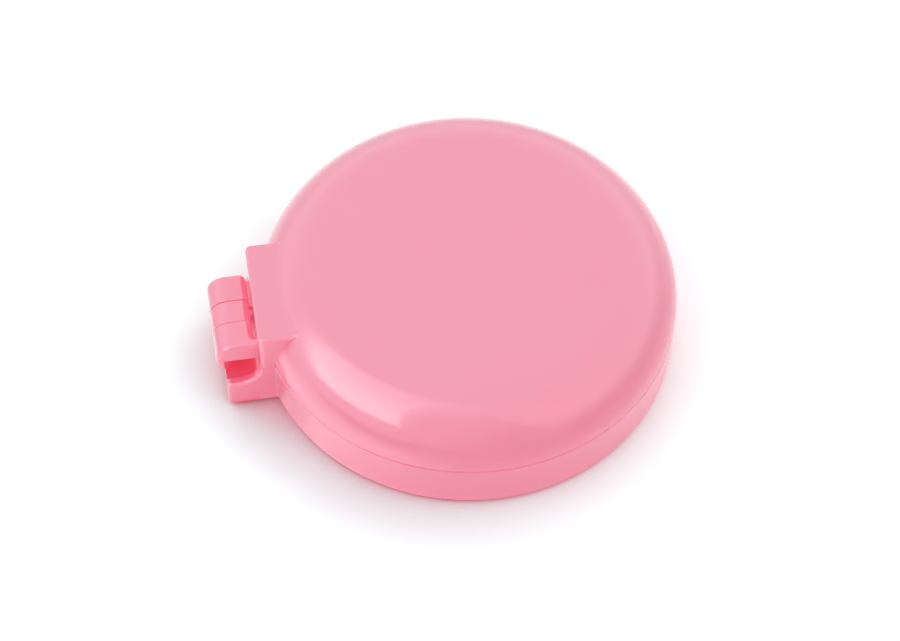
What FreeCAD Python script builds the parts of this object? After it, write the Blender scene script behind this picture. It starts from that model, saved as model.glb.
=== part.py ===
import FreeCAD, Part
import math
import os
import Sketcher

# Round hinged box for seven sewing machine bobbins, one in the middle and six round it.
# The origin is the middle of the underside, +Z is up and the hinge lies toward -X.

# Driving sizes in millimetres
SIZES = {
    # The bobbins that the box is made for
    "bobbin_diameter": 20.3,
    "bobbin_width": 11.7,
    "bobbin_hole": 6.0,
    "bobbin_gap": 0.8,
    "bobbin_headroom": 0.7,
    # The tray that carries them
    "seat_clearance": 0.2,
    "seat_margin": 0.35,
    "seat_floor": 1.0,
    "seat_depth": 1.0,
    "peg_clearance": 0.15,
    "peg_height": 6.5,
    "peg_round": 0.9,
    "tray_rim_wall": 0.9,
    "tray_rim_height": 6.8,
    "tray_rim_round": 0.35,
    "tray_edge": 1.2,
    "tray_clearance": 0.3,
    # The posts of the base that hold the tray, with their melted heads
    "stake_inset": 3.6,
    "stake_radius": 1.2,
    "stake_clearance": 0.15,
    "stake_head_radius": 1.9,
    "stake_head_height": 0.8,
    "stake_head_round": 0.7,
    # The foam pad in the lid
    "pad_thickness": 2.6,
    "pad_margin": 0.3,
    # The two shells
    "shell_wall": 1.8,
    "wall_draft": 0.2,
    "base_edge": 1.6,
    "floor_fillet": 1.0,
    "seam_gap": 0.05,
    "base_rim_edge": 0.15,
    "lid_rim_edge": 0.4,
    "rim_land": 0.5,
    "tongue_wall": 0.8,
    "tongue_height": 1.4,
    "tongue_clearance": 0.15,
    "bead_radius": 0.3,
    "bead_angle": 40.0,
    "catch_angle": 42.0,
    # The hinge
    "bracket_reach": 1.05,
    "bracket_length": 19.8,
    "bracket_drop": 2.0,
    "bracket_lift": 0.7,
    "bracket_corner": 1.0,
    "bracket_top_edge": 0.45,
    "bracket_blend": 4.0,
    "blend_bite": 0.02,
    "bracket_end_edge": 0.55,
    "bracket_fillet": 0.5,
    "shelf_edge": 0.7,
    "shelf_overhang": 1.9,
    "cheek": 1.5,
    "cradle_relief": 0.8,
    "knuckle_radius": 3.45,
    "knuckle_inset": 0.2,
    "knuckle_round": 3.05,
    "knuckle_end": 0.65,
    "mouth_width": 2.0,
    "valley_width": 0.45,
    "valley_depth": 2.4,
    "valley_end": 2.0,
    "valley_corner": 0.3,
    "valley_edge": 1.1,
    "barrel_length": 14.9,
    "barrel_inset": 0.25,
    "barrel_setback": 2.4,
    "middle_length": 4.1,
    "middle_corner": 1.3,
    "slot_relief": 0.7,
    "middle_web_drop": 1.2,
    "play_near": 0.12,
    "play_far": 0.2,
    "hinge_clearance": 0.3,
    "pin_radius": 1.0,
    "pin_running_fit": 0.05,
    "pin_press_fit": 0.01,
    "pin_cover": 0.5,
    "pin_recess": 0.4,
    "pin_chamfer": 0.2,
}

OUTER_SEATS = 6
STAKES = 3
FULL_TURN = 360.0
SHEET = "Sizes"
# Two places nearer than this are the same
TOUCH = 1e-4


class Size:
    """A length that keeps the sheet formula that it comes from beside its value."""

    def __init__(self, formula, value):
        self.formula = formula
        self.value = value

    def __add__(self, other):
        other = as_size(other)
        return Size(f"({self.formula} + {other.formula})", self.value + other.value)

    def __sub__(self, other):
        other = as_size(other)
        return Size(f"({self.formula} - {other.formula})", self.value - other.value)

    def __mul__(self, other):
        other = as_size(other)
        return Size(f"({self.formula} * {other.formula})", self.value * other.value)

    def __truediv__(self, other):
        other = as_size(other)
        return Size(f"({self.formula} / {other.formula})", self.value / other.value)

    def __neg__(self):
        return ZERO - self


def as_size(number):
    if isinstance(number, Size):
        return number
    return Size(str(float(number)), float(number))


def square_root(size):
    return Size(f"sqrt({size.formula})", math.sqrt(size.value))


ZERO = as_size(0)

doc = FreeCAD.newDocument("bobbin_box")


def make_sheet():
    """Fills the spreadsheet and returns the sizes by name."""
    sheet = doc.addObject("Spreadsheet::Sheet", SHEET)
    named = {}
    for row, (name, value) in enumerate(SIZES.items(), start=1):
        sheet.set(f"A{row}", name)
        sheet.set(f"B{row}", str(value))
        sheet.setAlias(f"B{row}", name)
        named[name] = Size(f"{SHEET}.{name}", value)
    doc.recompute()
    return named


S = make_sheet()

# Sizes that follow from the bobbins outward
bobbin_pitch = S["bobbin_diameter"] + S["bobbin_gap"]
seat_radius = S["bobbin_diameter"] / 2 + S["seat_clearance"]
peg_radius = S["bobbin_hole"] / 2 - S["peg_clearance"]
tray_inner_radius = bobbin_pitch + seat_radius + S["seat_margin"]
tray_radius = tray_inner_radius + S["tray_rim_wall"]
tray_plate = S["seat_floor"] + S["seat_depth"]
stake_ring = tray_inner_radius - S["stake_inset"]
base_inner_foot = tray_radius + S["tray_clearance"]
inner_radius = base_inner_foot + S["wall_draft"]
case_foot = base_inner_foot + S["shell_wall"]
case_radius = inner_radius + S["shell_wall"]
bobbin_stack = S["seat_floor"] + S["bobbin_width"] + S["bobbin_headroom"] + S["pad_thickness"]
case_height = S["shell_wall"] * 2 + bobbin_stack
parting = case_height / 2
half_seam = S["seam_gap"] / 2

# The rim joint and the lid's round shoulder
tongue_radius = inner_radius + S["tongue_wall"]
tongue_top = parting + S["tongue_height"]
rebate_radius = tongue_radius + S["tongue_clearance"]
rebate_top = tongue_top + S["tongue_clearance"]
bead_height = parting + S["tongue_height"] / 2
shoulder_foot = parting + S["rim_land"]
shoulder_radius = case_height - shoulder_foot
inner_shoulder = shoulder_radius - S["shell_wall"]
lid_ceiling = case_height - S["shell_wall"]
core_radius = case_radius - shoulder_radius
pad_radius = core_radius - S["pad_margin"]

# The hinge axis runs along Y through (hinge_x, parting)
cradle_radius = S["knuckle_radius"] + S["hinge_clearance"]
bracket_face = -(case_radius + S["bracket_reach"])
hinge_x = bracket_face - cradle_radius
shelf_end = hinge_x - S["shelf_overhang"]
shelf_top = parting - cradle_radius
bracket_root = -core_radius
bracket_top = case_height - S["bracket_drop"]
# Where the hollow between the bracket's flat top and the shoulder ends, a little under the shoulder's surface
blend_base = shoulder_radius - S["blend_bite"]
blend_span = blend_base + S["bracket_blend"]
blend_rise = bracket_top + S["bracket_blend"] - shoulder_foot
blend_reach = square_root(blend_span * blend_span - blend_rise * blend_rise)
touch_x = -(core_radius + blend_reach * blend_base / blend_span)
touch_z = shoulder_foot + blend_rise * blend_base / blend_span
# How far its two ends lie from the corner that it rounds
blend_setback = (touch_z - bracket_top) * blend_span / blend_reach
blend_corner = blend_setback - core_radius - blend_reach
slot_length = S["middle_length"] + S["play_near"] + S["play_far"]
middle_shift = (S["play_far"] - S["play_near"]) / 2
knuckle_top = parting + S["knuckle_radius"]
knuckle_reach = S["knuckle_radius"] - S["knuckle_inset"]
knuckle_front = hinge_x - knuckle_reach
knuckle_bottom = parting - knuckle_reach
valley_side = bracket_face - S["valley_width"]
barrel_radius = S["knuckle_radius"] - S["barrel_inset"]
barrel_body = S["barrel_length"] - S["barrel_setback"] * 2
pin_start = S["pin_cover"] - barrel_body / 2
bore_length = S["barrel_length"] / 2 - pin_start
pin_length = barrel_body - S["pin_cover"] - S["pin_recess"]


def origin_feature(body, role):
    """Finds one of the body's own origin planes or axes."""
    for feature in body.Origin.OriginFeatures:
        if feature.Role == role:
            return feature
    raise LookupError(role)


def new_body(label):
    body = doc.addObject("PartDesign::Body", label)
    body.Label = label
    return body


def new_sketch(body, name, plane, lift=None):
    """Makes a sketch on an origin plane, raised along that plane's normal where asked."""
    sketch = body.newObject("Sketcher::SketchObject", name)
    sketch.AttachmentSupport = [(origin_feature(body, plane), "")]
    sketch.MapMode = "FlatFace"
    if lift is not None:
        sketch.setExpression("AttachmentOffset.Base.z", lift.formula)
    return sketch


def bind(sketch, constraint, name, size):
    """Adds a measured constraint and ties it to the sheet."""
    index = sketch.addConstraint(constraint)
    sketch.renameConstraint(index, name)
    sketch.setExpression(f"Constraints.{name}", size.formula)


def bind_point(sketch, geometry, point, x, y, name):
    """Places one point of a sketch, on the axes where a coordinate is zero."""
    if x is ZERO:
        sketch.addConstraint(Sketcher.Constraint("PointOnObject", geometry, point, -2))
    else:
        across = Sketcher.Constraint("DistanceX", -1, 1, geometry, point, x.value)
        bind(sketch, across, f"{name}_x", x)
    if y is ZERO:
        sketch.addConstraint(Sketcher.Constraint("PointOnObject", geometry, point, -1))
    else:
        along = Sketcher.Constraint("DistanceY", -1, 1, geometry, point, y.value)
        bind(sketch, along, f"{name}_y", y)


def flat_point(x, y):
    return FreeCAD.Vector(x.value, y.value, 0)


def corner_ends(before, corner, after, radius):
    """Returns where a rounded corner's arc starts, its middle and where it ends."""
    arrive = (before - corner).normalize()
    leave = (after - corner).normalize()
    half_angle = arrive.getAngle(leave) / 2
    setback = radius / math.tan(half_angle)
    bisector = (arrive + leave).normalize()
    centre = corner + bisector * (radius / math.sin(half_angle))
    return corner + arrive * setback, centre - bisector * radius, corner + leave * setback


def draw_outline(sketch, corners):
    """Draws a closed outline through corners of (x, y), or (x, y, radius) for a rounded one."""
    points = [flat_point(corner[0], corner[1]) for corner in corners]
    count = len(corners)
    arcs = {}
    for index, corner in enumerate(corners):
        if len(corner) == 3:
            after = points[(index + 1) % count]
            arcs[index] = corner_ends(points[index - 1], points[index], after, corner[2].value)
    lines = []
    for index in range(count):
        following = (index + 1) % count
        start = arcs[index][2] if index in arcs else points[index]
        end = arcs[following][0] if following in arcs else points[following]
        lines.append(sketch.addGeometry(Part.LineSegment(start, end), False))
    for index, corner in enumerate(corners):
        before = lines[index - 1]
        after = lines[index]
        name = f"corner{index}"
        if index not in arcs:
            sketch.addConstraint(Sketcher.Constraint("Coincident", before, 2, after, 1))
            bind_point(sketch, after, 1, corner[0], corner[1], name)
            continue
        arc = sketch.addGeometry(Part.Arc(*arcs[index]), False)
        starts_first = sketch.getPoint(arc, 1).distanceToPoint(arcs[index][0]) < TOUCH
        first, last = (1, 2) if starts_first else (2, 1)
        tip = sketch.addGeometry(Part.Point(points[index]), True)
        bind_point(sketch, tip, 1, corner[0], corner[1], name)
        sketch.addConstraint(Sketcher.Constraint("PointOnObject", tip, 1, before))
        sketch.addConstraint(Sketcher.Constraint("PointOnObject", tip, 1, after))
        sketch.addConstraint(Sketcher.Constraint("Tangent", before, 2, arc, first))
        sketch.addConstraint(Sketcher.Constraint("Tangent", arc, last, after, 1))
        bind(sketch, Sketcher.Constraint("Radius", arc, corner[2].value), f"{name}_radius", corner[2])


def draw_circle(sketch, x, y, radius):
    centre = flat_point(x, y)
    circle = sketch.addGeometry(Part.Circle(centre, FreeCAD.Vector(0, 0, 1), radius.value), False)
    bind_point(sketch, circle, 3, x, y, "centre")
    bind(sketch, Sketcher.Constraint("Radius", circle, radius.value), "radius", radius)


def draw_turning_axis(sketch, x, bottom, top):
    """Draws the upright construction line that a piece away from the middle is turned about."""
    line = Part.LineSegment(flat_point(x, bottom), flat_point(x, top))
    axis = sketch.addGeometry(line, True)
    bind_point(sketch, axis, 1, x, bottom, "axis_bottom")
    bind_point(sketch, axis, 2, x, top, "axis_top")


def extrude(body, kind, name, sketch, length, symmetric=True):
    """Pads or pockets a sketch, to both sides of its plane unless told otherwise."""
    feature = body.newObject(f"PartDesign::{kind}", name)
    feature.Profile = sketch
    feature.SideType = "Symmetric" if symmetric else "One side"
    feature.setExpression("Length", length.formula)
    body.Tip = feature
    return feature


def turn(body, kind, name, sketch, axis="V_Axis", angle=None):
    """Makes a Revolution or a Groove, a whole turn or an angle shared by both sides."""
    feature = body.newObject(f"PartDesign::{kind}", name)
    feature.Profile = sketch
    feature.ReferenceAxis = (sketch, [axis])
    if angle is None:
        feature.Angle = FULL_TURN
    else:
        feature.Midplane = True
        feature.setExpression("Angle", angle.formula)
    body.Tip = feature
    return feature


def ring_of(body, name, feature, count):
    """Repeats a feature round the Z axis."""
    pattern = body.newObject("PartDesign::PolarPattern", name)
    pattern.Originals = [feature]
    pattern.Axis = (origin_feature(body, "Z_Axis"), [""])
    pattern.Angle = FULL_TURN
    pattern.Occurrences = count
    body.Tip = pattern
    return pattern


def round_edges(body, name, wanted, radius):
    """Fillets those edges of the body's newest feature that the wanted test picks."""
    doc.recompute()
    base = body.Tip
    edges = [f"Edge{index}" for index, edge in enumerate(base.Shape.Edges, start=1) if wanted(edge)]
    if not edges:
        raise LookupError(f"{name} found no edge")
    feature = body.newObject("PartDesign::Fillet", name)
    feature.Base = (base, edges)
    feature.setExpression("Radius", radius.formula)
    body.Tip = feature
    return feature


def near(value, size):
    return abs(value - size.value) < TOUCH


def lies_at(edge, axis, size):
    """Tells whether the whole edge lies in the plane where that axis has that value."""
    low = getattr(edge.BoundBox, f"{axis}Min")
    high = getattr(edge.BoundBox, f"{axis}Max")
    return near(low, size) and near(high, size)


def at_either_end(edge, length):
    """Tells whether the edge lies in the end plane of something as long as that along Y."""
    return lies_at(edge, "Y", length / 2) or lies_at(edge, "Y", -(length / 2))


def make_base_shell():
    """The lower shell with its rim tongue, hinge shelf, middle knuckle and tray posts."""
    body = new_body("base_shell")

    outer = new_sketch(body, "BaseOutline", "XZ_Plane")
    rim = parting - half_seam
    draw_outline(outer, [
        (ZERO, ZERO),
        (case_foot, ZERO, S["base_edge"]),
        (case_radius, rim, S["base_rim_edge"]),
        (tongue_radius, rim),
        (tongue_radius, tongue_top),
        (ZERO, tongue_top),
    ])
    turn(body, "Revolution", "BaseOuter", outer)

    bracket = new_sketch(body, "BaseBracketOutline", "XZ_Plane")
    draw_outline(bracket, [
        (bracket_root, S["bracket_lift"]),
        (shelf_end, S["bracket_lift"], S["shelf_edge"]),
        (shelf_end, shelf_top, S["shelf_edge"]),
        (hinge_x, shelf_top),
        (hinge_x, rim),
        (bracket_root, rim),
    ])
    extrude(body, "Pad", "BaseBracket", bracket, S["bracket_length"])

    cradle = new_sketch(body, "CradleOutline", "XZ_Plane")
    draw_circle(cradle, hinge_x, parting, cradle_radius)
    extrude(body, "Pocket", "Cradle", cradle, S["bracket_length"])

    def is_bracket_end(edge):
        outside = edge.BoundBox.XMin < bracket_face.value + TOUCH
        return at_either_end(edge, S["bracket_length"]) and outside and not lies_at(edge, "Z", rim)

    round_edges(body, "BaseBracketEnds", is_bracket_end, S["bracket_end_edge"])

    def is_bracket_junction(edge):
        inside = edge.BoundBox.XMin > bracket_face.value + TOUCH
        upright = edge.BoundBox.ZLength > edge.BoundBox.XLength
        tall = edge.BoundBox.ZLength > S["base_rim_edge"].value + TOUCH
        return at_either_end(edge, S["bracket_length"]) and inside and upright and tall

    round_edges(body, "BaseBracketJunction", is_bracket_junction, S["bracket_fillet"])

    relief = new_sketch(body, "CradleReliefOutline", "XZ_Plane")
    draw_circle(relief, hinge_x, parting, cradle_radius + S["cradle_relief"])
    relief_length = S["bracket_length"] - S["cheek"] * 2
    extrude(body, "Pocket", "CradleRelief", relief, relief_length)

    web = new_sketch(body, "MiddleWebOutline", "XZ_Plane", middle_shift)
    web_top = parting - S["middle_web_drop"]
    web_foot = (shelf_top + S["bracket_lift"]) / 2
    web_root = bracket_face + S["bracket_reach"]
    draw_outline(web, [
        (shelf_end + S["shelf_edge"], web_foot),
        (shelf_end + S["shelf_edge"], web_top),
        (web_root, web_top),
        (web_root, web_foot),
    ])
    extrude(body, "Pad", "MiddleWeb", web, S["middle_length"])

    knuckle = new_sketch(body, "MiddleKnuckleOutline", "XZ_Plane", middle_shift)
    draw_outline(knuckle, [
        (valley_side, knuckle_bottom),
        (valley_side, knuckle_top, S["middle_corner"]),
        (knuckle_front, knuckle_top, S["knuckle_round"]),
        (knuckle_front, knuckle_bottom, S["knuckle_round"]),
    ])
    extrude(body, "Pad", "MiddleKnuckle", knuckle, S["middle_length"])

    bore = new_sketch(body, "MiddleBoreOutline", "XZ_Plane")
    draw_circle(bore, hinge_x, parting, S["pin_radius"] + S["pin_running_fit"])
    extrude(body, "Pocket", "MiddleBore", bore, S["bracket_length"])

    hollow = new_sketch(body, "BaseHollowOutline", "XZ_Plane")
    draw_outline(hollow, [
        (ZERO, S["shell_wall"]),
        (base_inner_foot, S["shell_wall"], S["floor_fillet"]),
        (inner_radius, parting),
        (inner_radius, case_height),
        (ZERO, case_height),
    ])
    turn(body, "Groove", "BaseHollow", hollow)

    bead = new_sketch(body, "CatchBeadOutline", "XZ_Plane")
    draw_circle(bead, tongue_radius, bead_height, S["bead_radius"])
    turn(body, "Revolution", "CatchBead", bead, angle=S["bead_angle"])

    stake = new_sketch(body, "StakeOutline", "XZ_Plane")
    stake_foot = S["shell_wall"] / 2
    head_foot = S["shell_wall"] + tray_plate
    head_top = head_foot + S["stake_head_height"]
    draw_turning_axis(stake, stake_ring, stake_foot, head_top)
    draw_outline(stake, [
        (stake_ring, stake_foot),
        (stake_ring + S["stake_radius"], stake_foot),
        (stake_ring + S["stake_radius"], head_foot),
        (stake_ring + S["stake_head_radius"], head_foot),
        (stake_ring + S["stake_head_radius"], head_top, S["stake_head_round"]),
        (stake_ring, head_top),
    ])
    first = turn(body, "Revolution", "Stake", stake, axis="Axis0")
    ring_of(body, "Stakes", first, STAKES)
    return body


def make_lid_shell():
    """The upper shell with its round shoulder, hinge bracket and two outer knuckles."""
    body = new_body("lid_shell")

    caps = new_sketch(body, "KnuckleCapOutline", "XZ_Plane")
    draw_outline(caps, [
        (bracket_face, parting),
        (bracket_face, knuckle_top),
        (knuckle_front, knuckle_top, S["knuckle_round"]),
        (knuckle_front, knuckle_bottom, S["knuckle_round"]),
        (hinge_x, knuckle_bottom),
        (hinge_x, parting),
    ])
    extrude(body, "Pad", "KnuckleCaps", caps, S["barrel_length"])

    def is_cap_end(edge):
        upright = lies_at(edge, "X", bracket_face) or lies_at(edge, "X", hinge_x)
        joined = upright or lies_at(edge, "Z", parting)
        return at_either_end(edge, S["barrel_length"]) and not joined

    round_edges(body, "KnuckleEnds", is_cap_end, S["knuckle_end"])

    half_barrel = S["barrel_length"] / 2
    for side, name in ((1, "FarMouth"), (-1, "NearMouth")):
        mouth = new_sketch(body, f"{name}Outline", "XY_Plane", parting)
        draw_outline(mouth, [
            (hinge_x, barrel_body / 2 * side),
            (hinge_x - S["mouth_width"], half_barrel * side),
            (hinge_x, half_barrel * side),
        ])
        extrude(body, "Pocket", name, mouth, S["knuckle_radius"], symmetric=False)

    valley = new_sketch(body, "KnuckleValleyOutline", "XY_Plane", knuckle_top)
    valley_near = S["valley_end"] - half_barrel
    draw_outline(valley, [
        (bracket_face, half_barrel),
        (bracket_face, valley_near),
        (valley_side, valley_near, S["valley_corner"]),
        (valley_side, half_barrel),
    ])
    extrude(body, "Pocket", "KnuckleValley", valley, S["valley_depth"], symmetric=False)

    def is_valley_edge(edge):
        long_enough = edge.BoundBox.YLength > half_barrel.value
        return lies_at(edge, "Z", knuckle_top) and lies_at(edge, "X", valley_side) and long_enough

    round_edges(body, "KnuckleValleyEdge", is_valley_edge, S["valley_edge"])

    barrel = new_sketch(body, "BarrelOutline", "XZ_Plane")
    draw_circle(barrel, hinge_x, parting, barrel_radius)
    extrude(body, "Pad", "Barrel", barrel, barrel_body)

    rim = parting + half_seam
    bracket = new_sketch(body, "LidBracketOutline", "XZ_Plane")
    draw_outline(bracket, [
        (bracket_root, rim),
        (bracket_face, rim),
        (bracket_face, touch_z),
        (bracket_root, touch_z),
    ])
    extrude(body, "Pad", "LidBracket", bracket, S["bracket_length"])

    def is_bracket_corner(edge):
        return lies_at(edge, "X", bracket_face) and at_either_end(edge, S["bracket_length"])

    round_edges(body, "LidBracketCorners", is_bracket_corner, S["bracket_corner"])

    blend = new_sketch(body, "BracketBlendOutline", "XZ_Plane")
    above = touch_z * 2 - bracket_top
    draw_outline(blend, [
        (hinge_x, bracket_top),
        (blend_corner, bracket_top, S["bracket_blend"]),
        (touch_x * 2 - blend_corner, above),
        (hinge_x, above),
    ])
    turn(body, "Groove", "BracketBlend", blend)

    def is_bracket_top(edge):
        outside = edge.BoundBox.XMin < bracket_face.value + TOUCH
        return lies_at(edge, "Z", bracket_top) and (outside or at_either_end(edge, S["bracket_length"]))

    round_edges(body, "LidBracketTop", is_bracket_top, S["bracket_top_edge"])

    slot = new_sketch(body, "KnuckleSlotOutline", "XZ_Plane")
    slot_reach = cradle_radius * 2
    draw_outline(slot, [
        (bracket_face, parting - slot_reach),
        (bracket_face, parting + slot_reach),
        (hinge_x - slot_reach, parting + slot_reach),
        (hinge_x - slot_reach, parting - slot_reach),
    ])
    extrude(body, "Pocket", "KnuckleSlot", slot, slot_length)

    slot_relief = new_sketch(body, "SlotReliefOutline", "XZ_Plane")
    draw_circle(slot_relief, hinge_x, parting, cradle_radius + S["slot_relief"])
    extrude(body, "Pocket", "SlotRelief", slot_relief, slot_length)

    bore = new_sketch(body, "OuterBoreOutline", "XZ_Plane", -half_barrel)
    draw_circle(bore, hinge_x, parting, S["pin_radius"] - S["pin_press_fit"])
    blind_bore = extrude(body, "Pocket", "OuterBore", bore, bore_length, symmetric=False)
    blind_bore.Reversed = True

    outer = new_sketch(body, "LidOutline", "XZ_Plane")
    draw_outline(outer, [
        (ZERO, rim),
        (case_radius, rim, S["lid_rim_edge"]),
        (case_radius, case_height, shoulder_radius),
        (ZERO, case_height),
    ])
    turn(body, "Revolution", "LidOuter", outer)

    hollow = new_sketch(body, "LidHollowOutline", "XZ_Plane")
    draw_outline(hollow, [
        (ZERO, ZERO),
        (inner_radius, ZERO),
        (inner_radius, lid_ceiling, inner_shoulder),
        (ZERO, lid_ceiling),
    ])
    turn(body, "Groove", "LidHollow", hollow)

    rebate = new_sketch(body, "RebateOutline", "XZ_Plane")
    draw_outline(rebate, [
        (pad_radius, ZERO),
        (rebate_radius, ZERO),
        (rebate_radius, rebate_top),
        (pad_radius, rebate_top),
    ])
    turn(body, "Groove", "Rebate", rebate)

    catch = new_sketch(body, "CatchGrooveOutline", "XZ_Plane")
    draw_circle(catch, tongue_radius, bead_height, S["bead_radius"] + S["tongue_clearance"])
    turn(body, "Groove", "CatchGroove", catch, angle=S["catch_angle"])
    return body


def make_hinge_pin():
    """A plain steel pin, pressed into the lid's knuckles and turning in the base's."""
    body = new_body("hinge_pin")
    outline = new_sketch(body, "PinOutline", "XZ_Plane")
    draw_outline(outline, [
        (ZERO, ZERO),
        (S["pin_radius"] - S["pin_chamfer"], ZERO),
        (S["pin_radius"], S["pin_chamfer"]),
        (S["pin_radius"], pin_length - S["pin_chamfer"]),
        (S["pin_radius"] - S["pin_chamfer"], pin_length),
        (ZERO, pin_length),
    ])
    turn(body, "Revolution", "Pin", outline)
    along_y = FreeCAD.Rotation(FreeCAD.Vector(1, 0, 0), -90)
    body.Placement = FreeCAD.Placement(FreeCAD.Vector(0, 0, 0), along_y)
    body.setExpression("Placement.Base.x", hinge_x.formula)
    body.setExpression("Placement.Base.y", pin_start.formula)
    body.setExpression("Placement.Base.z", parting.formula)
    return body


def make_bobbin_tray():
    """The insert with a shallow round seat and a peg for each bobbin."""
    body = new_body("bobbin_tray")

    dish = new_sketch(body, "TrayOutline", "XZ_Plane")
    draw_outline(dish, [
        (ZERO, ZERO),
        (tray_radius, ZERO, S["tray_edge"]),
        (tray_radius, S["tray_rim_height"], S["tray_rim_round"]),
        (tray_inner_radius, S["tray_rim_height"], S["tray_rim_round"]),
        (tray_inner_radius, tray_plate),
        (ZERO, tray_plate),
    ])
    turn(body, "Revolution", "Dish", dish)

    middle_seat = new_sketch(body, "MiddleSeatOutline", "XY_Plane", tray_plate)
    draw_circle(middle_seat, ZERO, ZERO, seat_radius)
    extrude(body, "Pocket", "MiddleSeat", middle_seat, S["seat_depth"], symmetric=False)

    outer_seat = new_sketch(body, "OuterSeatOutline", "XY_Plane", tray_plate)
    draw_circle(outer_seat, ZERO, bobbin_pitch, seat_radius)
    first_seat = extrude(body, "Pocket", "OuterSeat", outer_seat, S["seat_depth"], symmetric=False)
    ring_of(body, "OuterSeats", first_seat, OUTER_SEATS)

    peg_foot = S["seat_floor"] / 2
    peg_top = S["seat_floor"] + S["peg_height"]

    def draw_peg(sketch, x):
        draw_outline(sketch, [
            (x, peg_foot),
            (x + peg_radius, peg_foot),
            (x + peg_radius, peg_top, S["peg_round"]),
            (x, peg_top),
        ])

    middle_peg = new_sketch(body, "MiddlePegOutline", "YZ_Plane")
    draw_peg(middle_peg, ZERO)
    turn(body, "Revolution", "MiddlePeg", middle_peg)

    outer_peg = new_sketch(body, "OuterPegOutline", "YZ_Plane")
    draw_turning_axis(outer_peg, bobbin_pitch, peg_foot, peg_top)
    draw_peg(outer_peg, bobbin_pitch)
    first_peg = turn(body, "Revolution", "OuterPeg", outer_peg, axis="Axis0")
    ring_of(body, "OuterPegs", first_peg, OUTER_SEATS)

    hole = new_sketch(body, "StakeHoleOutline", "XY_Plane", tray_plate)
    draw_circle(hole, stake_ring, ZERO, S["stake_radius"] + S["stake_clearance"])
    first_hole = extrude(body, "Pocket", "StakeHole", hole, tray_plate, symmetric=False)
    ring_of(body, "StakeHoles", first_hole, STAKES)

    body.setExpression("Placement.Base.z", S["shell_wall"].formula)
    return body


def make_lid_pad():
    """The foam disc that is glued under the lid's flat top."""
    pad = doc.addObject("Part::Cylinder", "lid_pad")
    pad.Label = "lid_pad"
    pad.setExpression("Radius", pad_radius.formula)
    pad.setExpression("Height", S["pad_thickness"].formula)
    pad.setExpression("Placement.Base.z", (lid_ceiling - S["pad_thickness"]).formula)
    return pad


def check_document(pieces):
    """Stops the build where a feature failed, cut nothing or left a bad shape."""
    for item in doc.Objects:
        if "Invalid" in item.State or "Error" in item.State:
            raise RuntimeError(f"{item.Name} failed: {item.State}")
        if item.TypeId in ("PartDesign::Pocket", "PartDesign::Groove"):
            if item.Shape.Volume >= item.BaseFeature.Shape.Volume:
                raise RuntimeError(f"{item.Name} cut nothing")
    for piece in pieces:
        if piece.Shape.isNull() or not piece.Shape.isValid():
            raise RuntimeError(f"{piece.Label} has a bad shape")
        if len(piece.Shape.Solids) != 1:
            raise RuntimeError(f"{piece.Label} has {len(piece.Shape.Solids)} solids")


def main():
    pieces = [
        make_base_shell(),
        make_lid_shell(),
        make_hinge_pin(),
        make_bobbin_tray(),
        make_lid_pad(),
    ]
    doc.recompute()
    check_document(pieces)
    os.makedirs("parts", exist_ok=True)
    for piece in pieces:
        piece.Shape.exportStep(f"parts/{piece.Label}.step")
        box = piece.Shape.optimalBoundingBox(False)
        print(f"{piece.Label}: {box.XLength:.2f} x {box.YLength:.2f} x {box.ZLength:.2f} mm")


main()
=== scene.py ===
# %% [markdown]
# # A round bobbin box on a white table
# This lesson dresses a moulded plastic bobbin box that was drawn as solids and packed with its hinge.
# The solids already have the right shapes, so most of the work here is finish: how glossy the plastic
# is, how light sinks into it, and which mirror images draw the pale patch on its shoulder. The first
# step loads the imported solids. They stay where they are, and the table and the foam pad are placed from
# their boxes.

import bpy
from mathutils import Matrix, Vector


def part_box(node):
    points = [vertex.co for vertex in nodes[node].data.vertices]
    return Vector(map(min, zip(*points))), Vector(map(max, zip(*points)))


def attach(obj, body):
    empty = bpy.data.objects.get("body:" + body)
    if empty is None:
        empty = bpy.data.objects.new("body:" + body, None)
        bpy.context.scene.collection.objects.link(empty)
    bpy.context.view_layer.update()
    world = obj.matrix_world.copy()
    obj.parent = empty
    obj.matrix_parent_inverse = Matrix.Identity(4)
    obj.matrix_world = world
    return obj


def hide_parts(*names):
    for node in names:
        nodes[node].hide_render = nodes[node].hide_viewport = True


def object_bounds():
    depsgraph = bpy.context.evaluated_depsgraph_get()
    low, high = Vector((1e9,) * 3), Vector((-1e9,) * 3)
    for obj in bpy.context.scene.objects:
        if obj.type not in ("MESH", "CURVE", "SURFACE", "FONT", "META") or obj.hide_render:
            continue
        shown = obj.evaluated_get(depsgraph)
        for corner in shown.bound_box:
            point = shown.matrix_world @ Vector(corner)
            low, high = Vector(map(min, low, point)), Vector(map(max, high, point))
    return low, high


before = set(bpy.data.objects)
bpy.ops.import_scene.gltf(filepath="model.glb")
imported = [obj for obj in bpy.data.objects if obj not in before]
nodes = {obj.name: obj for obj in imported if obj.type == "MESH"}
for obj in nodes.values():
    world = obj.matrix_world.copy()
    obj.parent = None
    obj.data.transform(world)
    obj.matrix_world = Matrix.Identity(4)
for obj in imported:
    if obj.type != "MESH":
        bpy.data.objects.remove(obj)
cad_low, cad_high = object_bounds()
print("pieces:", sorted(nodes))
print("box in mm:", [round(1000 * side, 2) for side in cad_high - cad_low])

# %% [markdown]
# The script needs one more standard module, three of Blender's own, and two small helpers. `MM` lets
# sizes be written in millimetres, the unit a toolmaker would use, while Blender works in metres. `ink`
# turns a colour as a screen shows it, three numbers from 0 to 255, into the linear light that shaders
# count in.

# %% Units and colours
import math

import bmesh
import bpy
from mathutils import Matrix, Vector, noise

MM = 0.001


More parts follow.
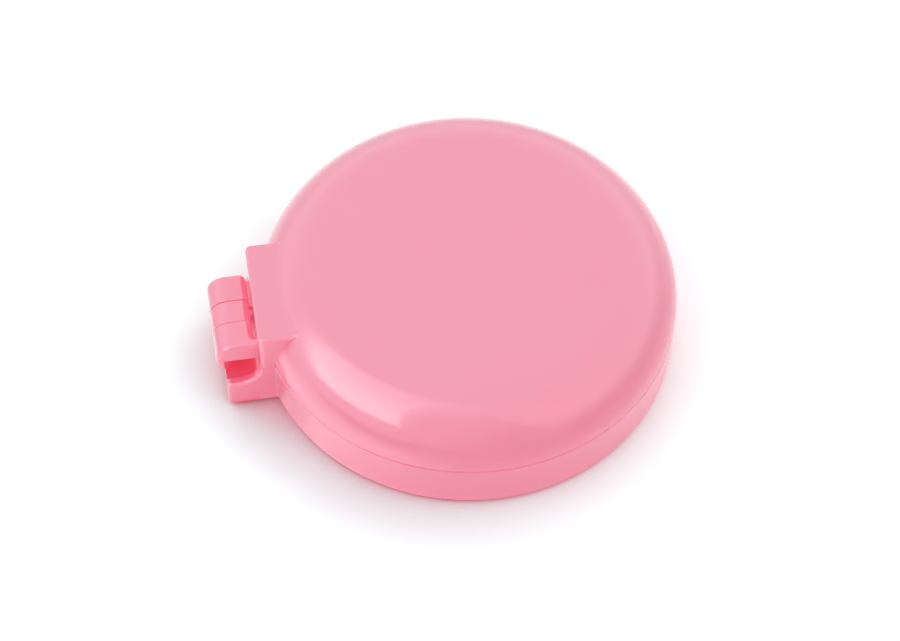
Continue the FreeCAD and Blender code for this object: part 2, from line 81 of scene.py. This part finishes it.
def ink(red, green, blue):
    """A screen colour as linear light, by the sRGB curve, with full opacity."""
    def linear(level):
        share = level / 255
        return share / 12.92 if share <= 0.04045 else ((share + 0.055) / 1.055) ** 2.4

    return (linear(red), linear(green), linear(blue), 1.0)


case_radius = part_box("lid_shell")[1].x
case_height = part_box("lid_shell")[1].z
print("case radius and height in mm:", round(case_radius / MM, 2), round(case_height / MM, 2))

# %% [markdown]
# ## Camera
# The box is seen from above and a little to the left of its front, from about half a metre, through a
# long lens. A camera is easiest to control by what it looks at: an aim point, a distance, and two
# angles. The picture leans by less than one degree, which is set as a roll about the line of sight.

# %% Place the camera
AIM = Vector((-2.59 * MM, 1.93 * MM, 0.0))
CAMERA_DISTANCE = 490 * MM
CAMERA_SWING = math.radians(-9.45)
CAMERA_HEIGHT = math.radians(55.45)
CAMERA_ROLL = math.radians(0.88)
SENSOR_WIDTH = 36.0
LENS = 114.84


def direction(swing, height):
    """A unit vector at an angle round the box from its front, and an angle above the table."""
    flat = math.cos(height)
    return Vector((math.sin(swing) * flat, -math.cos(swing) * flat, math.sin(height)))


def facing(back, roll):
    """The turn that points an object's -Z axis along -back, with its Y axis up, rolled about that line."""
    return back.to_track_quat("Z", "Y").to_matrix().to_4x4() @ Matrix.Rotation(roll, 4, "Z")


def add_camera():
    """The scene's camera, aimed from its distance and angles."""
    data = bpy.data.cameras.new("product_camera")
    data.sensor_width = SENSOR_WIDTH
    data.lens = LENS
    camera = bpy.data.objects.new("product_camera", data)
    back = direction(CAMERA_SWING, CAMERA_HEIGHT)
    camera.matrix_world = Matrix.Translation(AIM + CAMERA_DISTANCE * back) @ facing(back, CAMERA_ROLL)
    bpy.context.scene.collection.objects.link(camera)
    bpy.context.scene.camera = camera
    return camera


camera = add_camera()
print("camera at mm:", [round(place / MM, 1) for place in camera.matrix_world.translation])

# %% [markdown]
# ## Table
# The table is a wide white sheet. Lit at a plain level it would come out pale grey, so for rays that
# come from the camera, or off something glossy, the sheet glows a little as well. The glow is no lamp:
# it shows in the box's polish but never lights the box. It fades where the box stands over the sheet,
# because a glow there would wash the shadow out, so the fading paints shade of its own. What counts as
# standing over it leans to the back and right, so this painted shade lies to the front and left. The
# sheet throws warm light on the box, but to the camera it is a little cool, which takes most of the
# box's pink out of its shadow. In the crevice where the box meets it, the sheet is painted a dusky pink
# as shade.
#
# In mirror images the sheet glows brightest on the left, a painted pool of the window's light, and
# toward the front it keeps part of that glow even in the shade. Behind the box its glow is a little
# brighter than elsewhere, so that no dark line is mirrored along the back of the lid.

# %% Lay the table
TABLE_SIDE = 6.0
TABLE_DROP = 0.02 * MM
TABLE_WHITE = (1.0, 0.9, 0.9, 1.0)
TABLE_SEEN = (0.8, 0.9, 0.9, 1.0)
# Painted shade: the dusky pink that the sheet shows the camera in the crevice at the box's foot.
CREVICE_PAINTED_SHADE = (0.7, 0.43, 0.5, 1.0)
CREVICE_SHADE_DEEP = 0.2
CREVICE_SHADE_ENDS = 0.4
TABLE_GLOW = 0.42
SHADOW_REACH = 16 * MM
SHADOW_LEAN = (0.4, 0.36, 0.84)
SHADOW_DEEP = 0.38
SHADOW_GONE = 0.88
MIRROR_GLOW = 0.25
BACK_GLOW = 0.47
BACK_GLOW_STARTS = 20 * MM
BACK_GLOW_FULL = 45 * MM
WINDOW_GLOW = 0.8
FRONT_GLOW = 0.42
FRONT_FULL = -20 * MM
FRONT_ENDS = -15 * MM
GLOW_STARTS = -8 * MM
GLOW_FULL = -30 * MM
DOOR_SHADE = -70 * MM
DOOR_SHADE_ENDS = -40 * MM
BACK_SHADE_STARTS = -2 * MM
BACK_SHADE = 16 * MM


def new_material(name):
    """An empty node material, and its tree."""
    material = bpy.data.materials.new(name)
    material.use_nodes = True
    material.node_tree.nodes.clear()
    return material, material.node_tree


def put(tree, kind, **settings):
    """A new node in a tree, with its properties set."""
    node = tree.nodes.new(kind)
    for name, value in settings.items():
        setattr(node, name, value)
    return node


def value_map(tree, value, low, high, from_low=0.0, from_high=1.0):
    """A number carried from one range to another, and held inside it."""
    span = put(tree, "ShaderNodeMapRange")
    span.inputs["From Min"].default_value = from_low
    span.inputs["From Max"].default_value = from_high
    span.inputs["To Min"].default_value = low
    span.inputs["To Max"].default_value = high
    tree.links.new(value, span.inputs["Value"])
    return span.outputs["Result"]


def calculate(tree, operation, first, second=0.0):
    """One step of arithmetic on one or two sockets or numbers."""
    step = put(tree, "ShaderNodeMath", operation=operation)
    for socket, term in zip(step.inputs, (first, second)):
        if isinstance(term, (int, float)):
            socket.default_value = term
        else:
            tree.links.new(term, socket)
    return step.outputs[0]


def blend_numbers(tree, share, first, second):
    """A mix of two numbers, which are sockets or values."""
    mix = put(tree, "ShaderNodeMix", data_type="FLOAT")
    tree.links.new(share, mix.inputs["Factor"])
    for socket, number in ((mix.inputs[2], first), (mix.inputs[3], second)):
        if isinstance(number, (int, float)):
            socket.default_value = number
        else:
            tree.links.new(number, socket)
    return mix.outputs[0]


def blend_colours(tree, share, first, second):
    """A mix of two colours, which are sockets or values."""
    mix = put(tree, "ShaderNodeMix", data_type="RGBA")
    tree.links.new(share, mix.inputs["Factor"])
    for socket, colour in ((mix.inputs[6], first), (mix.inputs[7], second)):
        if isinstance(colour, tuple):
            socket.default_value = colour
        else:
            tree.links.new(colour, socket)
    return mix.outputs[2]


def split_position(tree):
    """The three coordinates of the shaded point, in metres from its object's origin."""
    split = put(tree, "ShaderNodeSeparateXYZ")
    tree.links.new(put(tree, "ShaderNodeTexCoord").outputs["Object"], split.inputs[0])
    return split.outputs


def table_glow_and_painted_shade():
    """White paper glowing for the rays that see it, less under the box, with painted shade at its foot."""
    material, tree = new_material("white_table")
    openness = put(tree, "ShaderNodeAmbientOcclusion")
    openness.inputs["Distance"].default_value = SHADOW_REACH
    lean = put(tree, "ShaderNodeCombineXYZ")
    for socket, part in zip(lean.inputs, SHADOW_LEAN):
        socket.default_value = part
    tree.links.new(lean.outputs[0], openness.inputs["Normal"])
    # Painted shadow: the glow fades where the box closes the sheet in, judged along a normal leaning back
    # and right.
    unshaded = value_map(tree, openness.outputs["AO"], 0.0, 1.0, SHADOW_DEEP, SHADOW_GONE)
    path = put(tree, "ShaderNodeLightPath").outputs
    place = split_position(tree)
    on_left = value_map(tree, place["X"], WINDOW_GLOW, 0.0, GLOW_FULL, GLOW_STARTS)
    behind_door = value_map(tree, place["Y"], 0.0, 1.0, DOOR_SHADE, DOOR_SHADE_ENDS)
    before_back = value_map(tree, place["Y"], 1.0, 0.0, BACK_SHADE_STARTS, BACK_SHADE)
    window = calculate(tree, "MULTIPLY", on_left, calculate(tree, "MULTIPLY", behind_door, before_back))
    front_share = value_map(tree, place["Y"], FRONT_GLOW, 0.0, FRONT_FULL, FRONT_ENDS)
    # Painted light: a pool of the window's light on the sheet, seen only in mirror images.
    falling = calculate(tree, "MULTIPLY", window, calculate(tree, "MAXIMUM", unshaded, front_share))
    everywhere = value_map(tree, place["Y"], MIRROR_GLOW, BACK_GLOW, BACK_GLOW_STARTS, BACK_GLOW_FULL)
    in_mirror = calculate(tree, "ADD", falling, calculate(tree, "MULTIPLY", unshaded, everywhere))
    plainly = calculate(tree, "MULTIPLY", unshaded, TABLE_GLOW)
    glowing = blend_numbers(tree, path["Is Glossy Ray"], plainly, in_mirror)
    seen = calculate(tree, "MAXIMUM", path["Is Glossy Ray"], path["Is Camera Ray"])
    # Painted shade: the camera sees the sheet dusky pink in the crevice at the box's foot.
    crevice_shade_share = value_map(tree, openness.outputs["AO"], 0.0, 1.0, CREVICE_SHADE_DEEP, CREVICE_SHADE_ENDS)
    shaded = blend_colours(tree, crevice_shade_share, CREVICE_PAINTED_SHADE, TABLE_SEEN)
    sheet = put(tree, "ShaderNodeBsdfDiffuse")
    tree.links.new(blend_colours(tree, path["Is Camera Ray"], TABLE_WHITE, shaded), sheet.inputs["Color"])
    glow = put(tree, "ShaderNodeEmission")
    tree.links.new(calculate(tree, "MULTIPLY", glowing, seen), glow.inputs["Strength"])
    lifted = put(tree, "ShaderNodeAddShader")
    out = put(tree, "ShaderNodeOutputMaterial")
    tree.links.new(sheet.outputs[0], lifted.inputs[0])
    tree.links.new(glow.outputs[0], lifted.inputs[1])
    tree.links.new(lifted.outputs[0], out.inputs["Surface"])
    return material


def lay_table():
    """A square sheet just under the box's foot."""
    mesh = bpy.data.meshes.new("table")
    shape = bmesh.new()
    bmesh.ops.create_grid(shape, x_segments=1, y_segments=1, size=TABLE_SIDE / 2)
    shape.to_mesh(mesh)
    shape.free()
    table = bpy.data.objects.new("table", mesh)
    table.location.z = cad_low.z - TABLE_DROP
    mesh.materials.append(table_glow_and_painted_shade())
    bpy.context.scene.collection.objects.link(table)
    return table


table = lay_table()
print("table top at mm:", round(table.location.z / MM, 3))

# %% [markdown]
# ## Light
# Glossy plastic is drawn by what it mirrors, so light and mirror images are set apart here. Two
# softboxes light the box and are never mirrored: the one on the left is the stronger and a little cool,
# and the one on the right is warmer and opens up the far side. A lamp's power is worked out from the
# brightness its face should have.

# %% Hang the softboxes
COOL = (0.88, 1.0, 1.0)
WARM = (1.0, 0.88, 0.9)


def hang_softbox(name, distance, swing, height, width, tall, brightness, tint):
    """A rectangular lamp that faces the box, at angles in degrees. A brightness of 1 is white paper's."""
    data = bpy.data.lights.new(name, "AREA")
    data.color = tint
    data.shape = "RECTANGLE"
    data.size = width
    data.size_y = tall
    data.energy = math.pi * width * tall * brightness
    lamp = bpy.data.objects.new(name, data)
    back = direction(math.radians(swing), math.radians(height))
    lamp.matrix_world = Matrix.Translation(distance * back) @ facing(back, 0.0)
    lamp.visible_camera = False
    lamp.visible_glossy = False
    bpy.context.scene.collection.objects.link(lamp)


hang_softbox("left_softbox", distance=600 * MM, swing=-75, height=49,
             width=456 * MM, tall=494 * MM, brightness=1.1, tint=COOL)
hang_softbox("right_softbox", distance=700 * MM, swing=60, height=48,
             width=800 * MM, tall=500 * MM, brightness=0.56, tint=WARM)
bpy.context.scene.view_settings.view_transform = "Standard"

# %% [markdown]
# The rest of the room is a white tent that starts a little above the table and is open toward the
# camera. As light it is bright and warm low down, and dimmer and cooler overhead. In a mirror it is
# brighter than paper, and the skirt below its edge and the opening are darker, most of all at the front
# right, which is what draws the soft line along the shoulder. The opening gets paler up and to the
# left. A window on the left is brighter still and makes the pale patch there. Each edge is a soft step
# in one of two angles: the swing round the box from its front, and the height above the table. Where
# the camera looks past the table it sees plain white.

# %% Pitch the tent
ROOM_HORIZON = (1.1, 0.87, 0.88, 1.0)
ROOM_ZENITH = (0.38, 0.48, 0.48, 1.0)
WHITE = (1.0, 1.0, 1.0, 1.0)
TENT_WHITE = 2.25
LEFT_SKIRT = 1.9
RIGHT_SKIRT = 1.25
BACK_SKIRT = 1.45
BACK_STARTS = math.radians(110)
BACK_SOFT = math.radians(25)
DOOR_GREY = 1.12
DOOR_PALE = 1.7
WINDOW_WHITE = 5.1
TENT_EDGE = math.radians(15)
DOOR_TOP = math.radians(68)
DOOR_LEFT = math.radians(-42)
DOOR_RIGHT = math.radians(20)
DOOR_SLANT = math.radians(16)
PALE_STARTS = math.radians(15)
PALE_FULL = math.radians(40)
SOFT = math.radians(10)
CRISP = math.radians(1.8)
WINDOW_SILL = math.radians(29.8)
SILL_LEAN = 0.105
WINDOW_LEFT = math.radians(-64.5)
LEFT_LEAN = -1.1
WINDOW_RIGHT = math.radians(-35.6)
RIGHT_LEAN = -0.216
FADE_STARTS = math.radians(40)
FADE_ENDS = math.radians(98)


def step_up(tree, value, middle, softness):
    """0 below a level and 1 above it, with a soft step between. The value and the level may be sockets."""
    from_middle = calculate(tree, "SUBTRACT", value, middle)
    step = put(tree, "ShaderNodeMapRange", interpolation_type="SMOOTHSTEP")
    step.inputs["From Min"].default_value = -softness
    step.inputs["From Max"].default_value = softness
    tree.links.new(from_middle, step.inputs["Value"])
    return step.outputs["Result"]


def leaning(tree, start, lean, along):
    """An edge that starts at one angle and leans as the other angle grows."""
    return calculate(tree, "ADD", calculate(tree, "MULTIPLY", along, lean), start)


def mirrored_tent(tree, swing, height):
    """How bright the tent looks in a mirror, at two angles that are sockets."""
    past_left = step_up(tree, swing, DOOR_LEFT, SOFT)
    past_right = step_up(tree, swing, DOOR_RIGHT, DOOR_SLANT)
    in_door = calculate(tree, "SUBTRACT", past_left, past_right)
    edge = value_map(tree, in_door, TENT_EDGE, DOOR_TOP)
    skirt = value_map(tree, swing, LEFT_SKIRT, RIGHT_SKIRT, DOOR_LEFT, DOOR_RIGHT)
    up_and_left = calculate(tree, "SUBTRACT", height, swing)
    doorway = value_map(tree, up_and_left, DOOR_GREY, DOOR_PALE, PALE_STARTS, PALE_FULL)
    in_front = blend_numbers(tree, in_door, skirt, doorway)
    at_back = step_up(tree, calculate(tree, "ABSOLUTE", swing), BACK_STARTS, BACK_SOFT)
    below = blend_numbers(tree, at_back, in_front, BACK_SKIRT)
    return blend_numbers(tree, step_up(tree, height, edge, SOFT), below, TENT_WHITE)


def mirrored_window(tree, swing, height):
    """1 in the window's mirror image and 0 outside it, fading toward its top."""
    over_sill = step_up(tree, height, leaning(tree, WINDOW_SILL, SILL_LEAN, swing), CRISP)
    past_left = step_up(tree, swing, leaning(tree, WINDOW_LEFT, LEFT_LEAN, height), SOFT)
    past_right = step_up(tree, swing, leaning(tree, WINDOW_RIGHT, RIGHT_LEAN, height), CRISP)
    between = calculate(tree, "SUBTRACT", past_left, past_right)
    fade = value_map(tree, height, 1.0, 0.0, FADE_STARTS, FADE_ENDS)
    return calculate(tree, "MULTIPLY", calculate(tree, "MULTIPLY", over_sill, between), fade)


def pitch_tent():
    """A world that lights by one set of colours, is mirrored as another and is seen as plain white."""
    world = bpy.data.worlds.new("white_tent")
    bpy.context.scene.world = world
    world.use_nodes = True
    tree = world.node_tree
    tree.nodes.clear()
    where = put(tree, "ShaderNodeTexCoord").outputs["Generated"]
    split = put(tree, "ShaderNodeSeparateXYZ")
    tree.links.new(where, split.inputs[0])
    skyward = calculate(tree, "MAXIMUM", split.outputs["Z"], 0.0)
    light = blend_colours(tree, skyward, ROOM_HORIZON, ROOM_ZENITH)
    toward_front = calculate(tree, "MULTIPLY", split.outputs["Y"], -1.0)
    swing = calculate(tree, "ARCTAN2", split.outputs["X"], toward_front)
    height = calculate(tree, "ARCSINE", split.outputs["Z"])
    tent = mirrored_tent(tree, swing, height)
    mirrored = blend_numbers(tree, mirrored_window(tree, swing, height), tent, WINDOW_WHITE)
    path = put(tree, "ShaderNodeLightPath")
    unseen = blend_colours(tree, path.outputs["Is Glossy Ray"], light, mirrored)
    seen = blend_colours(tree, path.outputs["Is Camera Ray"], unseen, WHITE)
    sky = put(tree, "ShaderNodeBackground")
    tree.links.new(seen, sky.inputs["Color"])
    out = put(tree, "ShaderNodeOutputWorld")
    tree.links.new(sky.outputs[0], out.inputs["Surface"])
    return world


print("room:", pitch_tent().name)

# %% [markdown]
# ## A moulded skin
# Plastic from a polished mould isn't a perfect mirror. It has a slow ripple left by shrinkage, faint
# clouds in the pigment, and a grain that varies from place to place. All the plastic pieces share this,
# so it is one node group with its sizes as inputs, built once and placed in both plastics, with other
# sizes in the tray.

# %% Build the moulded skin group
def new_group(name, inputs, outputs):
    """An empty shader group with number inputs, given as name and default, and number outputs."""
    group = bpy.data.node_groups.new(name, "ShaderNodeTree")
    for label, default in inputs.items():
        socket = group.interface.new_socket(label, in_out="INPUT", socket_type="NodeSocketFloat")
        socket.default_value = default
    for label in outputs:
        group.interface.new_socket(label, in_out="OUTPUT", socket_type="NodeSocketFloat")
    return group, put(group, "NodeGroupInput"), put(group, "NodeGroupOutput")


def noise_by(tree, place, per_metre, detail):
    """Cloudy noise at a scale that comes from a socket."""
    cloud = put(tree, "ShaderNodeTexNoise")
    cloud.inputs["Detail"].default_value = detail
    tree.links.new(place, cloud.inputs["Vector"])
    tree.links.new(per_metre, cloud.inputs["Scale"])
    return cloud.outputs["Fac"]


def moulded_skin_group():
    """The skin's clouds, grain and ripple, as three numbers that vary over the surface."""
    sizes = {"Ripples per metre": 220.0, "Clouds per metre": 45.0, "Grains per metre": 4000.0}
    group, given, made = new_group("moulded_skin", sizes, ["Clouds", "Grain", "Ripple"])
    where = put(group, "ShaderNodeTexCoord").outputs["Object"]
    clouds = noise_by(group, where, given.outputs["Clouds per metre"], detail=3.0)
    grain = noise_by(group, where, given.outputs["Grains per metre"], detail=1.0)
    ripple = noise_by(group, where, given.outputs["Ripples per metre"], detail=0.0)
    group.links.new(clouds, made.inputs["Clouds"])
    group.links.new(grain, made.inputs["Grain"])
    group.links.new(ripple, made.inputs["Ripple"])
    return group


skin_group = moulded_skin_group()
print("group:", skin_group.name)

# %% [markdown]
# ## Pink plastic
# The shells are opaque pink plastic with a polished outside. Red light goes a little way into it and
# comes out again, which is why its cracks look pink and not grey, so the shader scatters light under
# the surface, deeper in the solid hinge than in the thin walls. That alone leaves the narrowest cracks
# too dark, so they are given a faint painted glow, and the mouths under the hinge's knuckles are painted
# a deeper red as shade. Both are found by how closed in the surface is. The insides of the shells are
# left dull from the mould. A mask tells inside from outside by distance from the case's middle.

# %% Mix the pink plastic
PINK = ink(252, 142, 171)
DEEP_PINK = ink(251, 138, 167)
SHOULDER_RADIUS = 9.3 * MM
SHELL_WALL = 1.8 * MM
THIN_DEPTH = 0.6 * MM
SOLID_DEPTH = 1.0 * MM
HINGE_STARTS = -36.5 * MM
CRACK_GLOW = (1.0, 0.35, 0.5, 1.0)
CRACK_STRENGTH = 0.13
CRACK_REACH = 5 * MM
CRACK_SAMPLES = 6
CRACK_DEEP = 0.1
CRACK_OPEN = 0.5
# Painted shade: the deeper red that the base colour turns to in the mouths under the knuckles.
MOUTH_PAINTED_SHADE = ink(255, 72, 110)
MOUTH_DEEP = 0.45
MOUTH_OPEN = 0.7
MOUTH_TOP = 9.0 * MM
POLISHED = 0.2
HAZY = 0.27
CLOUDS_THIN = 0.3
CLOUDS_THICK = 0.7
DULL = 0.42
DULLEST = 0.52
RIPPLE_DEPTH = 0.01 * MM


def shader_for(tree, plain):
    """A Principled shader joined to the output, with the values that are the same all over set on it."""
    shader = put(tree, "ShaderNodeBsdfPrincipled")
    for name, value in plain.items():
        shader.inputs[name].default_value = value
    out = put(tree, "ShaderNodeOutputMaterial")
    tree.links.new(shader.outputs[0], out.inputs["Surface"])
    return shader


def bump(tree, height, shader, depth):
    """Fine relief of a real depth, in metres, on a shader's normal."""
    relief = put(tree, "ShaderNodeBump")
    relief.inputs["Distance"].default_value = depth
    tree.links.new(height, relief.inputs["Height"])
    tree.links.new(relief.outputs["Normal"], shader.inputs["Normal"])


def skin_in(tree, **sizes):
    """The moulded skin, placed in a material."""
    skin = put(tree, "ShaderNodeGroup", node_tree=skin_group)
    for name, value in sizes.items():
        skin.inputs[name.replace("_", " ")].default_value = value
    return skin.outputs


def hypotenuse(tree, first, second):
    """The straight distance over two sockets that are distances at right angles."""
    squares = [calculate(tree, "MULTIPLY", leg, leg) for leg in (first, second)]
    return calculate(tree, "POWER", calculate(tree, "ADD", *squares), 0.5)


def past(tree, value, level):
    """How far a socket is past a level, and 0 below it."""
    return calculate(tree, "MAXIMUM", calculate(tree, "SUBTRACT", value, level), 0.0)


def inside_mask(tree):
    """1 on the inner faces of the two shells and 0 on the outer ones, split at the middle of the wall."""
    place = split_position(tree)
    across = hypotenuse(tree, place["X"], place["Y"])
    out_of_core = past(tree, across, case_radius - SHOULDER_RADIUS)
    over_core = past(tree, place["Z"], case_height - SHOULDER_RADIUS)
    reach = hypotenuse(tree, out_of_core, over_core)
    within = calculate(tree, "LESS_THAN", reach, SHOULDER_RADIUS - SHELL_WALL / 2)
    above_floor = calculate(tree, "GREATER_THAN", place["Z"], SHELL_WALL / 2)
    return calculate(tree, "MULTIPLY", within, above_floor)


def pink_plastic():
    """Pink that scatters red light, polished outside and dull inside, with painted glow and painted red
    shade.
    """
    material, tree = new_material("pink_plastic")
    shader = shader_for(tree, {
        "IOR": 1.5, "Coat Weight": 1.0, "Coat IOR": 1.5, "Coat Roughness": 0.02,
        "Subsurface Weight": 0.7, "Subsurface Radius": (1.0, 0.2, 0.3), "Emission Color": CRACK_GLOW})
    place = split_position(tree)
    depth = value_map(tree, place["X"], SOLID_DEPTH, THIN_DEPTH, HINGE_STARTS, -case_radius)
    tree.links.new(depth, shader.inputs["Subsurface Scale"])
    openness = put(tree, "ShaderNodeAmbientOcclusion", samples=CRACK_SAMPLES)
    openness.inputs["Distance"].default_value = CRACK_REACH
    # Painted glow: the narrowest cracks emit a faint pink light, though they are no lamp.
    glow = value_map(tree, openness.outputs["AO"], CRACK_STRENGTH, 0.0, CRACK_DEEP, CRACK_OPEN)
    tree.links.new(glow, shader.inputs["Emission Strength"])
    # Painted shade: low at the hinge, where the surface is closed in, the colour turns a deeper red.
    closed_in = value_map(tree, openness.outputs["AO"], 1.0, 0.0, MOUTH_DEEP, MOUTH_OPEN)
    at_hinge = calculate(tree, "LESS_THAN", place["X"], HINGE_STARTS)
    low_down = calculate(tree, "LESS_THAN", place["Z"], MOUTH_TOP)
    under_knuckles = calculate(tree, "MULTIPLY", at_hinge, low_down)
    mouth_painted_shade = calculate(tree, "MULTIPLY", closed_in, under_knuckles)
    skin = skin_in(tree)
    clouded = blend_colours(tree, skin["Clouds"], PINK, DEEP_PINK)
    tree.links.new(blend_colours(tree, mouth_painted_shade, clouded, MOUTH_PAINTED_SHADE), shader.inputs["Base Color"])
    inside = inside_mask(tree)
    polish = value_map(tree, skin["Clouds"], POLISHED, HAZY, CLOUDS_THIN, CLOUDS_THICK)
    dull = value_map(tree, skin["Grain"], DULL, DULLEST)
    tree.links.new(blend_numbers(tree, inside, polish, dull), shader.inputs["Roughness"])
    bump(tree, skin["Ripple"], shader, RIPPLE_DEPTH)
    return material


pink = pink_plastic()
for name in ("base_shell", "lid_shell"):
    nodes[name].material_slots[0].material = pink
print("pink plastic on:", [name for name, node in nodes.items() if node.material_slots[0].material == pink])

# %% [markdown]
# ## White tray
# The tray inside is moulded in white plastic with a satin face, so that thread colours read well
# against it. It uses the same moulded skin, with smaller clouds and with a finer grain as its relief.

# %% Mix the tray plastic
TRAY_WHITE = ink(238, 236, 231)
TRAY_SHADE = ink(231, 229, 223)
TRAY_SATIN = 0.36
TRAY_DULL = 0.48
TRAY_GRAIN = 0.012 * MM


def tray_plastic():
    """Satin white with a fine grain."""
    material, tree = new_material("tray_plastic")
    shader = shader_for(tree, {"IOR": 1.49, "Subsurface Weight": 0.25, "Subsurface Radius": (1.0, 0.8, 0.7),
                               "Subsurface Scale": 0.8 * MM})
    skin = skin_in(tree, Clouds_per_metre=60.0, Grains_per_metre=5200.0)
    tree.links.new(blend_colours(tree, skin["Clouds"], TRAY_WHITE, TRAY_SHADE), shader.inputs["Base Color"])
    tree.links.new(value_map(tree, skin["Grain"], TRAY_SATIN, TRAY_DULL), shader.inputs["Roughness"])
    bump(tree, skin["Grain"], shader, TRAY_GRAIN)
    return material


nodes["bobbin_tray"].material_slots[0].material = tray_plastic()
print("tray plastic on: bobbin_tray")

# %% [markdown]
# ## Steel pin
# The hinge turns on a short steel pin that was ground to size, which leaves fine rings round it.

# %% Grind the steel pin
STEEL = ink(190, 190, 193)
STEEL_DARK = ink(150, 150, 155)
RINGS_PER_METRE = 9000.0
STREAKS_PER_METRE = 300.0
STEEL_FINE = 0.22
STEEL_COARSE = 0.42
RING_DEPTH = 0.004 * MM


def ground_steel():
    """Bare metal with fine rings along its length."""
    material, tree = new_material("ground_steel")
    shader = shader_for(tree, {"Metallic": 1.0, "Anisotropic": 0.4})
    where = put(tree, "ShaderNodeTexCoord").outputs["Object"]
    squeeze = put(tree, "ShaderNodeMapping")
    squeeze.inputs["Scale"].default_value = (STREAKS_PER_METRE, RINGS_PER_METRE, STREAKS_PER_METRE)
    rings = put(tree, "ShaderNodeTexNoise")
    rings.inputs["Scale"].default_value = 1.0
    tree.links.new(where, squeeze.inputs["Vector"])
    tree.links.new(squeeze.outputs["Vector"], rings.inputs["Vector"])
    ringed = rings.outputs["Fac"]
    tree.links.new(blend_colours(tree, ringed, STEEL, STEEL_DARK), shader.inputs["Base Color"])
    tree.links.new(value_map(tree, ringed, STEEL_FINE, STEEL_COARSE), shader.inputs["Roughness"])
    bump(tree, ringed, shader, RING_DEPTH)
    return material


nodes["hinge_pin"].material_slots[0].material = ground_steel()
print("ground steel on: hinge_pin")

# %% [markdown]
# ## Foam pad
# A disc of soft foam is stuck inside the lid, so that the bobbins can't climb off their pegs. The
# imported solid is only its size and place, so the pad is made again here: a turned profile with soft
# lips where the die cut it, sides that draw in between them, and a face that swells a little and is
# pitted with open cells.

# %% Shape the foam pad
PAD_LIP = 0.45 * MM
PAD_WAIST = 0.22 * MM
PAD_SWELL = 0.25 * MM
PAD_PITS = 0.05 * MM
PAD_RINGS = 56
PAD_STEPS = 224
LIP_STEPS = 5
PIT_SIZE = 0.9 * MM


def pad_profile(low, high, radius):
    """Points from the middle of the lower face, over its lip and up the side, to the glued face's edge."""
    flat = radius - PAD_LIP
    points = []
    for ring in range(PAD_RINGS):
        share = ring / (PAD_RINGS - 1)
        points.append((flat * share, low + PAD_SWELL * share * share))
    edge = low + PAD_SWELL
    for step in range(1, LIP_STEPS + 1):
        turn = math.pi / 2 * step / LIP_STEPS
        points.append((flat + PAD_LIP * math.sin(turn), edge + PAD_LIP * (1 - math.cos(turn))))
    side = high - PAD_LIP - (edge + PAD_LIP)
    for step in range(1, LIP_STEPS):
        share = step / LIP_STEPS
        points.append((radius - PAD_WAIST * math.sin(math.pi * share), edge + PAD_LIP + side * share))
    for step in range(LIP_STEPS + 1):
        turn = math.pi / 2 * step / LIP_STEPS
        points.append((flat + PAD_LIP * math.cos(turn), high - PAD_LIP + PAD_LIP * math.sin(turn)))
    return points


def foam_pad():
    """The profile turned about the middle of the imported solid, with pits in all but its glued face."""
    low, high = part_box("lid_pad")
    middle = (low + high) / 2
    points = pad_profile(low.z, high.z, (high.x - low.x) / 2)
    shape = bmesh.new()
    hub = shape.verts.new((middle.x, middle.y, points[0][1]))
    rings = []
    for radius, height in points[1:]:
        ring = []
        for step in range(PAD_STEPS):
            turn = 2 * math.pi * step / PAD_STEPS
            x = middle.x + radius * math.cos(turn)
            y = middle.y + radius * math.sin(turn)
            ring.append(shape.verts.new((x, y, height)))
        rings.append(ring)
    cap = shape.verts.new((middle.x, middle.y, high.z))
    for step in range(PAD_STEPS):
        after = (step + 1) % PAD_STEPS
        shape.faces.new((hub, rings[0][after], rings[0][step]))
        shape.faces.new((cap, rings[-1][step], rings[-1][after]))
        for inner, outer in zip(rings, rings[1:]):
            shape.faces.new((inner[step], inner[after], outer[after], outer[step]))
    for corner in shape.verts:
        if corner.co.z < high.z - PAD_LIP / 2:
            pit = noise.noise(corner.co / PIT_SIZE)
            corner.co.z += PAD_PITS * (1 + pit) / 2
    for face in shape.faces:
        face.smooth = True
    mesh = bpy.data.meshes.new("foam_pad")
    shape.to_mesh(mesh)
    shape.free()
    pad = bpy.data.objects.new("foam_pad", mesh)
    bpy.context.scene.collection.objects.link(pad)
    return pad


pad = foam_pad()
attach(pad, "lid")
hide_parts("lid_pad")
print("foam pad faces:", len(pad.data.polygons))

# %% [markdown]
# Foam is a froth of small bubbles, cut open at the face. A Voronoi texture is a natural fit, because it
# divides space into cells: each cell gives a pit in the relief, its middle is painted darker as shade,
# and the walls between them are painted paler, as if they catch the light.

# %% Fill the foam with cells
FOAM = ink(236, 226, 224)
# Painted shade: the darker colour in the middle of each cell stands in for the shade in its pit.
FOAM_PIT_PAINTED_SHADE = ink(205, 188, 188)
CELLS_PER_METRE = 1500.0
PIT_ENDS = 0.15
WALL_STARTS = 0.6
PIT_ROUGHNESS = 0.95
WALL_ROUGHNESS = 0.8
CELL_DEPTH = 0.12 * MM


def open_foam():
    """Dull foam, its pits painted darker as shade and its walls paler as lit."""
    material, tree = new_material("open_foam")
    shader = shader_for(tree, {"IOR": 1.4, "Sheen Weight": 0.25, "Sheen Roughness": 0.6})
    where = put(tree, "ShaderNodeTexCoord").outputs["Object"]
    cells = put(tree, "ShaderNodeTexVoronoi")
    cells.inputs["Scale"].default_value = CELLS_PER_METRE
    tree.links.new(where, cells.inputs["Vector"])
    wall = value_map(tree, cells.outputs["Distance"], 0.0, 1.0, PIT_ENDS, WALL_STARTS)
    # Painted shade in the pits and painted light on the walls, from the same cells as the relief.
    tree.links.new(blend_colours(tree, wall, FOAM_PIT_PAINTED_SHADE, FOAM), shader.inputs["Base Color"])
    tree.links.new(value_map(tree, wall, PIT_ROUGHNESS, WALL_ROUGHNESS), shader.inputs["Roughness"])
    bump(tree, wall, shader, CELL_DEPTH)
    return material


pad.data.materials.append(open_foam())
print("foam cells are about mm:", round(1 / CELLS_PER_METRE / MM, 2))
